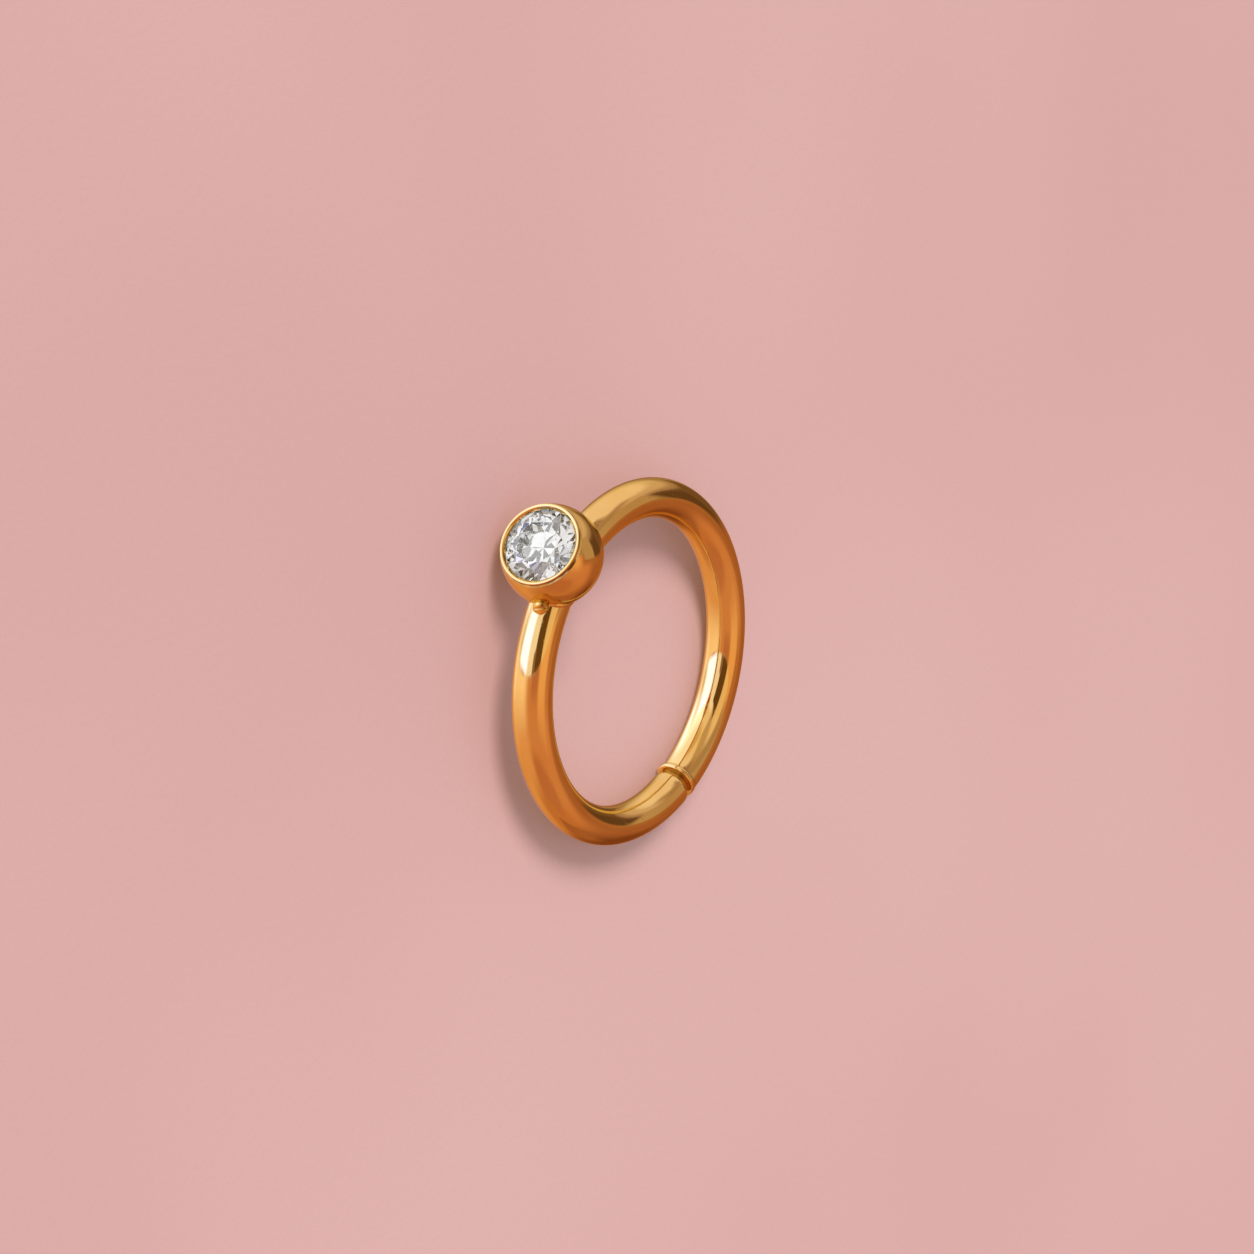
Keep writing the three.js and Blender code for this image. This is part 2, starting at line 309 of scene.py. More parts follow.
class Wires:
    """Puts shader nodes into a tree and joins them up."""

    UNDER = 6  # a Mix node's first colour, as the number of its socket
    OVER = 7  # its second colour
    MIXED = 2  # its mixed colour

    def __init__(self, tree: bpy.types.NodeTree) -> None:
        """Clears the tree that the nodes go into."""
        self.tree = tree
        tree.nodes.clear()

    def put(self, value: Value | None, socket: Socket) -> None:
        """Feeds an input.

        Args:
            value: A number, a colour or another node's output; None leaves the input alone.
            socket: The input.
        """
        if isinstance(value, Socket):
            self.tree.links.new(value, socket)
        elif value is not None:
            socket.default_value = value

    def node(self, kind: str, inputs: dict | None = None, **settings: object) -> bpy.types.Node:
        """Adds a node.

        Args:
            kind: The node's type without its ShaderNode prefix.
            inputs: Values by input name or number.
            settings: The node's own settings.

        Returns:
            The node.
        """
        made = self.tree.nodes.new("ShaderNode" + kind)
        for key, value in settings.items():
            setattr(made, key, value)
        for key, value in (inputs or {}).items():
            self.put(value, made.inputs[key])
        return made

    def math(self, operation: str, *values: Value) -> Socket:
        """Works out a sum on numbers."""
        return self.node("Math", dict(enumerate(values)), operation=operation).outputs[0]

    def vector(self, operation: str, *values: Value) -> Socket:
        """Works out a sum on vectors, whose answer is a number for a dot product."""
        made = self.node("VectorMath", dict(enumerate(values)), operation=operation)
        return made.outputs["Value" if operation == "DOT_PRODUCT" else "Vector"]

    def noise(self, where: Value, scale: float, detail: float, rough: float = 0.5) -> Socket:
        """Makes clouds of a size, with finer layers of a weight, whose values lie round 0.5."""
        inputs = {"Vector": where, "Scale": scale, "Detail": detail, "Roughness": rough}
        return self.node("TexNoise", inputs).outputs[0]

    def ramp(
        self, value: Value, low: float, high: float, start: float = 0.0, end: float = 1.0
    ) -> Socket:
        """Maps a value from one range to another, smoothly and held at the ends.

        Args:
            value: The value.
            low: Start of the range it comes from.
            high: End of that range.
            start: What low becomes.
            end: What high becomes.

        Returns:
            The mapped value.
        """
        made = self.node("MapRange", interpolation_type="SMOOTHSTEP")
        for given, socket in zip((value, low, high, start, end), made.inputs):
            self.put(given, socket)
        return made.outputs[0]

    def blend(self, share: Value, under: Value, over: Value) -> Socket:
        """Mixes two colours.

        Args:
            share: How much of the second shows.
            under: The first colour.
            over: The second colour.

        Returns:
            The mixed colour.
        """
        made = self.node("Mix", {0: share}, data_type="RGBA")
        for number, colour in ((self.UNDER, under), (self.OVER, over)):
            self.put((*colour, 1.0) if isinstance(colour, tuple) else colour, made.inputs[number])
        return made.outputs[self.MIXED]

    def bump(self, height: Value, lift: float, under: Value | None = None) -> Socket:
        """Raises a surface, or the normal under it, by a height from 0 to a lift in millimetres."""
        inputs = {"Height": height, "Distance": lift * MM, "Strength": 1.0, "Normal": under}
        return self.node("Bump", inputs).outputs[0]

    def remembered(self, layer: Layer, output: str) -> Socket:
        """What the piece's points remember."""
        return self.node("Attribute", attribute_name=layer.value).outputs[output]

    def where(self) -> Socket:
        """The place on the piece, in millimetres."""
        inputs = {0: self.node("TexCoord").outputs["Object"], "Scale": 1 / MM}
        return self.node("VectorMath", inputs, operation="SCALE").outputs[0]


class Finish(ABC):
    """A finish, which makes one material."""

    @property
    @abstractmethod
    def name(self) -> str:
        """The material's name."""

    @abstractmethod
    def coat(self, wires: Wires) -> dict[str, Value]:
        """What the shader is fed."""

    def make(self) -> bpy.types.Material:
        """Builds the material.

        Returns:
            The material.
        """
        material = bpy.data.materials.new(self.name)
        material.use_nodes = True
        wires = Wires(material.node_tree)
        shader = wires.node("BsdfPrincipled", self.coat(wires))
        wires.node("OutputMaterial", {"Surface": shader.outputs[0]})
        return material


class Working(Enum):
    """How a piece of the gold was worked, which decides the marks it bears."""

    DRAWN = "drawn through a plate, with lines along the wire"
    TURNED = "turned on a lathe, with rings round its axis"
    CAST = "melted in place"


@dataclass(frozen=True)
class PolishedGold(Finish):
    """Fourteen carat yellow gold, polished and a little worn.

    Its lines, ripples, clouds and the like are given as so many in a millimetre.
    """

    working: Working
    colour: Colour = (0.93, 0.585, 0.205)  # the clean alloy
    warm: Colour = (0.90, 0.53, 0.17)  # where it is a touch richer in copper
    painted_shade: Colour = (0.30, 0.13, 0.04)  # the dark colour that painted shade in corners, creases and recesses goes to
    edge: Colour = (0.98, 0.85, 0.50)  # how far it keeps its colour where it is seen edge on
    gloss: float = 0.035  # roughness of the clean polish
    haze: float = 0.03  # roughness that wear adds
    patchy: float = 0.45  # share of the painted shade that stays where the smears are thinnest
    painted_shade_haze: float = 0.12  # roughness added where the painted shade lies
    scratch_haze: float = 0.06  # roughness that a scratch adds
    line_depth: float = 0.0004  # of the working's own marks
    scratch_depth: float = 0.0004  # of the wiping scratches
    wave_depth: float = 0.004  # of the polish's slow waves
    lines: Triple = (16.0, 16.0, 0.35)  # of the draw plate
    rings: float = 14.0  # of the lathe
    ripples: float = 6.0  # of what was melted in place
    hairs: Triple = (30.0, 2.2, 5.0)  # of the wiping scratches
    wipes: tuple[Triple, ...] = ((0.4, 1.1, 0.2), (1.3, 0.2, 0.9), (2.2, 0.8, 2.4))  # their turns
    rare: tuple[float, float] = (0.69, 0.75)  # heights of the noise between which they set in
    smears: float = 2.3  # of wear, and of the patches in the painted shade
    clouds: float = 0.55  # of the alloy
    waves: float = 0.8  # of the polish

    @property
    def name(self) -> str:
        """The material's name."""
        return "gold_" + self.working.name.lower()

    def marks(self, wires: Wires) -> Socket:
        """The working's own marks.

        Args:
            wires: The material's nodes.

        Returns:
            Their height.
        """
        stock = wires.remembered(Layer.STOCK, "Vector")
        if self.working is Working.DRAWN:
            drawn = wires.vector("MULTIPLY", stock, self.lines)
            return wires.noise(drawn, 1.0, detail=4.0, rough=0.6)
        if self.working is Working.TURNED:
            parts = wires.node("SeparateXYZ", {0: stock}).outputs
            squares = [wires.math("POWER", part, 2.0) for part in parts[:2]]
            reach = wires.math("SQRT", wires.math("ADD", *squares))
            rings = wires.node("CombineXYZ", {0: reach, 1: 0.0, 2: parts[2]})
            return wires.noise(rings.outputs[0], self.rings, detail=3.0, rough=0.6)
        return wires.noise(stock, self.ripples, detail=4.0, rough=0.6)

    def scratches(self, wires: Wires, where: Socket) -> Socket:
        """Hair scratches from wiping, in three directions.

        Args:
            wires: The material's nodes.
            where: The place on the piece.

        Returns:
            A value that is 1 in a scratch and 0 elsewhere.
        """
        hairs = []
        for turn in self.wipes:
            turned_to = wires.node("Mapping", {"Vector": where, "Rotation": turn}).outputs[0]
            drawn = wires.vector("MULTIPLY", turned_to, self.hairs)
            hairs.append(wires.ramp(wires.noise(drawn, 1.0, detail=1.0), *self.rare))
        return reduce(partial(wires.math, "MAXIMUM"), hairs)

    def coat(self, wires: Wires) -> dict[str, Value]:
        """Clouded alloy with painted shade in its corners, and three layers of marks.

        Args:
            wires: The material's nodes.

        Returns:
            What the shader is fed.
        """
        where = wires.where()
        smear = wires.noise(where, self.smears, detail=4.0, rough=0.6)
        hairs = self.scratches(wires, where)
        # painted shade: where the points say so, the alloy is darkened towards a dark colour, in
        # patches
        shade_mask = wires.remembered(Layer.PAINTED_SHADE, "Fac")
        shade_share = wires.math("MULTIPLY", shade_mask, wires.ramp(smear, 0.3, 0.62, start=self.patchy))
        clouds = wires.ramp(wires.noise(where, self.clouds, detail=3.0), 0.35, 0.65)
        rough = wires.math("MULTIPLY_ADD", shade_share, self.painted_shade_haze, self.gloss)
        rough = wires.math("ADD", rough, wires.ramp(smear, 0.35, 0.75, end=self.haze))
        waves = wires.bump(wires.noise(where, self.waves, detail=1.0), self.wave_depth)
        lines = wires.bump(self.marks(wires), self.line_depth, waves)
        return {
            "Base Color": wires.blend(
                shade_share, wires.blend(clouds, self.colour, self.warm), self.painted_shade
            ),
            "Metallic": 1.0,
            "Roughness": wires.math("MULTIPLY_ADD", hairs, self.scratch_haze, rough),
            "Specular Tint": (*self.edge, 1.0),
            "Normal": wires.bump(wires.math("SUBTRACT", 1.0, hairs), self.scratch_depth, lines),
        }


# The pin's golds: the post is left satin from the lathe and darker for painted shade, and the nub's
# skin is the dullest cast.
WIRE_GOLD = PolishedGold(Working.DRAWN)
BEAD_GOLD = PolishedGold(Working.TURNED)
# painted shade: a deeper, darker copy of the alloy for the post and its root in the split
SATIN_SHADED_POST_GOLD = PolishedGold(
    Working.TURNED, colour=(0.88, 0.47, 0.10), warm=(0.84, 0.42, 0.08), gloss=0.38
)
SEAM_GOLD = PolishedGold(Working.CAST, gloss=0.06)
NUB_GOLD = PolishedGold(
    Working.CAST, colour=(0.90, 0.53, 0.12), warm=(0.86, 0.46, 0.09), gloss=0.2
)


@dataclass(frozen=True)
class PolishedStone(Finish):
    """A clear, colourless stone with the faintest film of handling on it."""

    name = "stone_polished"
    clear: Colour = (0.995, 0.985, 0.97)  # the stone's own colour
    film: Colour = (0.955, 0.95, 0.94)  # where a finger has touched it
    index: float = 2.4  # how strongly it bends light
    mirror: Colour = (0.55, 0.43, 0.25)  # how much of the room its surface sends back
    gloss: float = 0.018  # roughness of the polish
    haze: float = 0.02  # roughness that the film adds
    smears: float = 1.6  # of the film, in a millimetre
    grain: float = 9.0  # of the polish, in a millimetre
    grain_depth: float = 0.00004  # of that grain

    def coat(self, wires: Wires) -> dict[str, Value]:
        """A clear body with a touched film and the faintest grain.

        Args:
            wires: The material's nodes.

        Returns:
            What the shader is fed.
        """
        where = wires.where()
        touch = wires.ramp(wires.noise(where, self.smears, detail=4.0, rough=0.6), 0.5, 0.8)
        return {
            "Base Color": wires.blend(touch, self.clear, self.film),
            "Roughness": wires.math("MULTIPLY_ADD", touch, self.haze, self.gloss),
            "Normal": wires.bump(wires.noise(where, self.grain, detail=2.0), self.grain_depth),
            "IOR": self.index,
            "Specular Tint": (*self.mirror, 1.0),
            "Transmission Weight": 1.0,
        }


@dataclass(frozen=True)
class BrightSeat(Finish):
    """The seat under the stone, burnished pale so that it sends the light back up."""

    name = "seat_burnished"
    bright: Colour = (0.93, 0.91, 0.88)  # the burnished metal
    dull: Colour = (0.72, 0.68, 0.62)  # where the burnisher missed it
    gloss: float = 0.22  # roughness of the burnish
    haze: float = 0.1  # roughness that the dull patches add
    patches: float = 2.0  # in a millimetre
    depth: float = 0.004  # of the burnisher's marks

    def coat(self, wires: Wires) -> dict[str, Value]:
        """Pale metal in bright and dull patches.

        Args:
            wires: The material's nodes.

        Returns:
            What the shader is fed.
        """
        patches = wires.noise(wires.where(), self.patches, detail=3.0)
        return {
            "Base Color": wires.blend(wires.ramp(patches, 0.4, 0.7), self.bright, self.dull),
            "Metallic": 1.0,
            "Roughness": wires.ramp(patches, 0.3, 0.7, self.gloss, self.gloss + self.haze),
            "Normal": wires.bump(patches, self.depth),
        }


@dataclass(frozen=True)
class RoseCard(Finish):
    """Pale rose card that the pin lies on."""

    name = "rose_card"
    near: Colour = (0.72, 0.43, 0.415)  # its main tone
    far: Colour = (0.67, 0.385, 0.375)  # its deeper clouds
    speck: Colour = (0.55, 0.31, 0.30)  # its darkest fibres
    specks: float = 0.05  # the most that such a fibre shows
    rough: tuple[float, float] = (0.62, 0.75)  # roughness between its fibres and on them
    clouds: float = 0.03  # of its tones, in a millimetre
    fibres: float = 5.0  # in a millimetre
    depth: float = 0.012  # of its fibres

    def coat(self, wires: Wires) -> dict[str, Value]:
        """Clouded card with short fibres.

        Args:
            wires: The material's nodes.

        Returns:
            What the shader is fed.
        """
        where = wires.where()
        fibre = wires.noise(where, self.fibres, detail=4.0, rough=0.7)
        cloud = wires.ramp(wires.noise(where, self.clouds, detail=2.0), 0.3, 0.7)
        dark = wires.ramp(fibre, 0.3, 0.7, end=self.specks)
        tone = wires.blend(cloud, self.near, self.far)
        return {
            "Base Color": wires.blend(dark, tone, self.speck),
            "Roughness": wires.ramp(fibre, 0.3, 0.7, *self.rough),
            "Normal": wires.bump(fibre, self.depth),
        }


# ---- The pin's sub-assemblies.


@dataclass(frozen=True)
class Wire:
    """The hoop's round wire and the split in it."""

    hoop: float = 4.6  # radius of the hoop's centre line
    radius: float = 0.55  # of the wire
    split: float = 71.65  # middle of the split, in degrees round the hoop from +X
    gap: float = 0.18  # width of the split
    step: float = 0.09  # longest stretch along it

    @property
    def half_gap(self) -> float:
        """Half the split as an angle round the hoop."""
        return self.gap / 2 / self.hoop

    def at(self, angle: float, outward: float, up: float) -> Vector:
        """A point beside the centre line, at an angle from +X in radians."""
        reach = self.hoop + outward
        return Vector((reach * math.cos(angle), reach * math.sin(angle), up))

    def bent(self, angle: float, turn: float, radius: float) -> Vector:
        """Where straight stock comes to lie, leant inwards where it is thicker than the wire."""
        outward = radius * math.cos(turn) - max(0.0, radius - self.radius)
        return self.at(angle, outward, radius * math.sin(turn))


@dataclass(frozen=True)
class Limb(TurnedPart):
    """A length of the hoop's wire that is bent round from where it begins."""

    wire: Wire = Wire()
    sides: int = 72
    at_bead: float = 0.06  # painted shade where the wire enters the bead
    fade: tuple[float, float] = (0.6, 0.3)  # distances from its end between which that comes in

    @property
    @abstractmethod
    def start(self) -> float:
        """The angle where the limb begins, in radians."""

    def place(self, turn: float, radius: float, along: float) -> Vector:
        """Bends a point of the stock round the hoop."""
        return self.wire.bent(self.start + along / self.wire.hoop, turn, radius)

    def near_bead(self, distance: float) -> float:
        """Painted shade at a distance from the limb's end in the bead."""
        return self.at_bead * rise(*self.fade, distance)


@dataclass(frozen=True)
class SocketLimb(Limb):
    """The limb from the socket's mouth round to the bead."""

    name = "socket_limb"
    bore: float = 0.33  # radius of the socket
    depth: float = 1.25  # of the socket
    lip_height: float = 0.036  # how far the mouth is swaged out
    lip_width: float = 0.16  # of the swaged lip
    lip_foot: float = 0.01  # how far its back slopes
    in_mouth: float = 0.55  # painted shade just inside the mouth
    behind_lip: float = 0.4  # painted shade behind the lip
    end: float = 264.5  # where the limb ends inside the bead, in degrees round the hoop

    @property
    def start(self) -> float:
        """The angle of the socket's mouth, in radians."""
        return math.radians(self.wire.split) + self.wire.half_gap

    @property
    def length(self) -> float:
        """Length from the mouth to the end in the bead."""
        return (math.radians(self.end) - self.start) * self.wire.hoop

    def outline(self) -> Outline:
        """The limb as straight stock, from the bore's bottom to the end in the bead.

        Returns:
            Pairs of radius and place along.
        """
        wire = self.wire.radius
        lip = wire + self.lip_height
        corners = [
            Corner(0.0, self.depth),
            Corner(self.bore, self.depth, ease=0.08),
            Corner(self.bore, 0.0, ease=0.02),
            Corner(lip, 0.0, ease=0.05),
            Corner(lip, self.lip_width, ease=0.05),
            Corner(wire, self.lip_width + self.lip_foot, ease=0.015),
            Corner(wire, self.length, ease=0.05),
            Corner(0.0, self.length),
        ]
        return refined(eased(corners), self.wire.step)

    def painted_shade(self, stock: Vector) -> float:
        """Painted shade in the socket, at its mouth, behind its lip and by the bead.

        Args:
            stock: A point of the stock.

        Returns:
            How much painted shade it gets.
        """
        reach, along = stock.xy.length, stock.z
        if reach < self.bore + SLACK and along < self.depth + SLACK:
            return 1.0
        mouth = self.in_mouth * rise(0.02, 0.0, along) * rise(0.58, 0.5, reach)
        foot = 0.0
        if reach < self.wire.radius + 0.02:
            foot = self.behind_lip * rise(0.06, 0.0, abs(along - self.lip_width - 0.02))
        return max(mouth, foot, self.near_bead(self.length - along))

    def dress(self, piece: Piece) -> None:
        """Polishes the limb."""
        piece.data.materials.append(WIRE_GOLD.make())


@dataclass(frozen=True)
class PostLimb(Limb):
    """The limb from the bead to the shoulder, and the thin post turned on its end."""

    name = "post_limb"
    begin: float = 273.2  # where the limb begins inside the bead, in degrees round the hoop
    neck: float = 0.42  # radius of the post's root, which nearly fills the split
    clearance: float = 0.004  # between the root and the socket's mouth
    post: float = 0.27  # radius of the post
    reach: float = 1.0  # how far the post goes into the socket
    tip: float = 0.06  # of the post's tapered tip
    round: float = 0.125  # rounding of the shoulder
    slope: float = 0.01  # how far the shoulder's face slopes
    satin: float = 0.015  # how far before the shoulder the satin finish begins, in a darker gold of painted shade
    on_root: float = 0.02  # painted shade on the post's root
    on_post: float = 0.5  # painted shade that the thin post has beyond that

    @property
    def start(self) -> float:
        """The angle of the limb's end in the bead, in radians."""
        return math.radians(self.begin)

    @property
    def shoulder(self) -> float:
        """Length of the full wire from the bead to the shoulder."""
        end = math.radians(self.wire.split + 360.0) - self.wire.half_gap
        return (end - self.start) * self.wire.hoop

    def outline(self) -> Outline:
        """The limb as straight stock, from the bead to the post's tip.

        Returns:
            Pairs of radius and place along.
        """
        wire = self.wire.radius
        mouth = self.shoulder + self.wire.gap
        root = mouth - self.clearance
        end = mouth + self.reach
        corners = [
            Corner(0.0, 0.0),
            Corner(wire, 0.0, ease=0.05),
            Corner(wire, self.shoulder, ease=self.round),
            Corner(self.neck, self.shoulder + self.slope, ease=0.02),
            Corner(self.neck, root, ease=0.004),
            Corner(self.post, root, ease=0.02),
            Corner(self.post, end - self.tip, ease=0.03),
            Corner(self.post - self.tip, end, ease=0.02),
            Corner(0.0, end),
        ]
        return refined(eased(corners, steps=7), self.wire.step)

    def painted_shade(self, stock: Vector) -> float:
        """Painted shade on the post and by the bead.

        Args:
            stock: A point of the stock.

        Returns:
            How much painted shade it gets.
        """
        past = rise(self.shoulder - 0.02, self.shoulder + 0.02, stock.z)
        thin = rise(0.4, 0.3, stock.xy.length)
        return max(past * (self.on_root + self.on_post * thin), self.near_bead(stock.z))

    def dress(self, piece: Piece) -> None:
        """Polishes the limb and leaves its post satin, as it was turned, in a darker gold of
        painted shade.

        Args:
            piece: The limb.
        """
        piece.data.materials.append(WIRE_GOLD.make())
        piece.data.materials.append(SATIN_SHADED_POST_GOLD.make())
        stock = piece.data.attributes[Layer.STOCK.value].data
        for face in piece.data.polygons:
            if min(stock[k].vector.z for k in face.vertices) > self.shoulder - self.satin:
                face.material_index = 1


@dataclass(frozen=True)
class Bezel(TurnedPart):
    """The bead that carries the stone: turned round, with a burnished rim and a cut seat.

    Its depths are measured back from the rim.
    """

    name = "bezel_bead"
    wire: Wire = Wire()
    distance: float = 6.09  # from the hoop's centre to the middle of the rim
    turn: float = 10.5  # of the bead's axis in the hoop's plane, in degrees
    lean: float = 5.7  # of the bead's axis out of that plane, in degrees
    radius: float = 1.38  # of the bead at its widest ring
    front: float = 0.92  # depth of the widest ring
    front_curve: float = 1.6  # semi-axis of the front's curve
    back: float = 1.2  # semi-axis of the back's curve
    rim_outer: float = 1.148  # outer radius of the rim
    rim_inner: float = 1.08  # inner radius of the rim
    band: float = 0.06  # depth of the rim's outer band
    groove: float = 0.085  # depth of the turned groove behind the band
    groove_cut: float = 0.012  # how far the groove is cut in
    brow: float = 0.115  # depth where the bead's curve begins
    lip: float = 1.005  # radius of the opening where the rim closes over the stone
    lip_depth: float = 0.09  # of that opening
    ledge: float = 0.125  # depth at which the groove for the girdle is fully open
    girdle_back: float = 0.195  # depth at which the groove ends and the seat's cone begins
    girdle: float = 1.05  # radius of the stone's girdle
    clearance: float = 0.035  # between the stone and the metal
    pavilion: float = 40.8  # angle of the seat's cone, in degrees
    seat_end: float = 1.25  # depth that the seat stays short of
    seat_share: float = 0.96  # of the bead's curve, within which lies the seat
    outside: float = 1.12  # radius beyond which the rim is the bead's outside
    wired: float = 0.6  # share of the front's depth behind which the wire may enter
    seat_painted_shade: float = 0.15  # painted shade in the seat
    wire_painted_shade: float = 0.3  # painted shade where the wire enters
    step: float = 0.1  # longest stretch of the outline from the rim to the seat's bottom
    back_steps: int = 40  # in the back's curve
    front_steps: int = 30  # in the front's curve
    sides: int = 144

    @property
    def axis(self) -> Vector:
        """The way the stone faces.

        Returns:
            The direction in the hoop's frame.
        """
        turn, lean = math.radians(self.turn), math.radians(self.lean)
        flat = math.cos(lean)
        return Vector((math.sin(turn) * flat, -math.cos(turn) * flat, math.sin(lean)))

    def place(self, turn: float, radius: float, along: float) -> Vector:
        """Puts a point of the stock round the bead's axis.

        Args:
            turn: Round the axis.
            radius: From the axis.
            along: In front of the rim, or behind it where negative.

        Returns:
            The point in the hoop's frame.
        """
        spin = Vector((0.0, 1.0, 0.0)).rotation_difference(self.axis)
        local = Vector((radius * math.sin(turn), along, radius * math.cos(turn)))
        return spin @ local - Vector((0.0, self.distance, 0.0))

    def off(self, point: Vector) -> float:
        """Whether a point is in or out of the solid bead.

        Args:
            point: The point in the hoop's frame.

        Returns:
            Below zero inside, zero on the surface, above it outside.
        """
        offset = point + Vector((0.0, self.distance, 0.0))
        depth = -offset.dot(self.axis)
        reach = (offset + self.axis * depth).length
        curve = self.front_curve if depth < self.front else self.back
        return ((depth - self.front) / curve) ** 2 + (reach / self.radius) ** 2 - 1.0

    def normal(self, point: Vector) -> Vector:
        """The bead's outward direction at a point on it.

        Args:
            point: The point in the hoop's frame.

        Returns:
            The direction.
        """
        nudges = Matrix.Scale(1e-4, 3)  # one along each axis
        slopes = [self.off(point + n) - self.off(point - n) for n in nudges]
        return Vector(slopes).normalized()

    def outline(self) -> Outline:
        """The bead's outline, from its back over the rim into the seat.

        Returns:
            Pairs of radius and place in front of the rim.
        """
        points = []
        for k in range(self.back_steps + 1):
            turn = k / self.back_steps * math.pi / 2
            points.append((self.radius * math.sin(turn), -self.front - self.back * math.cos(turn)))
        for k in range(1, self.front_steps + 1):
            risen = k / self.front_steps * (self.front - self.brow)
            share = risen / self.front_curve
            points.append((self.radius * math.sqrt(1 - share * share), risen - self.front))
        seat = self.girdle + self.clearance
        slope = math.radians(self.pavilion)
        cone = self.girdle * math.tan(slope) + self.clearance / math.cos(slope)
        rim = [
            Corner(*points[-1]),
            Corner(self.rim_outer - self.groove_cut, -self.groove, ease=0.012),
            Corner(self.rim_outer, -self.band, ease=0.008),
            Corner(self.rim_outer, 0.0, ease=0.024),
            Corner(self.rim_inner, 0.0, ease=0.020),
            Corner(self.lip, -self.lip_depth, ease=0.008),
            Corner(seat, -self.ledge, ease=0.004),
            Corner(seat, -self.girdle_back, ease=0.01),
            Corner(0.0, -self.girdle_back - cone),
        ]
        return points + refined(eased(rim, steps=6)[1:], self.step)

    def in_seat(self, reach: float, along: float) -> bool:
        """Whether a point of the outline belongs to the seat and not to the bead's outside."""
        inner = Vector((reach / self.radius, (along + self.front) / self.front_curve))
        return inner.length < self.seat_share and along > -self.seat_end

    def painted_shade(self, stock: Vector) -> float:
        """Painted shade in the groove, in the seat and round the wire at the back.

        Args:
            stock: A point of the stock.

        Returns:
            How much painted shade it gets.
        """
        reach, along = stock.xy.length, stock.z
        groove = seat = seam = 0.0
        if reach > self.outside:
            groove = rise(0.045, 0.01, abs(along + self.groove))
        if self.in_seat(reach, along):
            seat = self.seat_painted_shade * rise(-0.05, -0.14, along)
        if along < -self.front * self.wired:
            at = self.place(math.atan2(stock.y, stock.x), reach, along)
            off_wire = math.hypot(at.xy.length - self.wire.hoop, at.z) - self.wire.radius
            seam = self.wire_painted_shade * rise(0.04, 0.0, off_wire)
        return max(groove, seat, seam)

    def dress(self, piece: Piece) -> None:
        """Polishes the bead and burnishes its seat.

        Args:
            piece: The bead.
        """
        piece.data.materials.append(BEAD_GOLD.make())
        piece.data.materials.append(BrightSeat().make())
        stock = piece.data.attributes[Layer.STOCK.value].data
        for face in piece.data.polygons:
            alongs = [stock[k].vector.z for k in face.vertices]
            reaches = [stock[k].vector.xy.length for k in face.vertices]
            if max(alongs) < SLACK - self.lip_depth and self.in_seat(max(reaches), min(alongs)):
                face.material_index = 1


class Side(Enum):
    """The two places where the wire enters the bead, as the sense of leaving it."""

    SOCKET = -1
    POST = 1


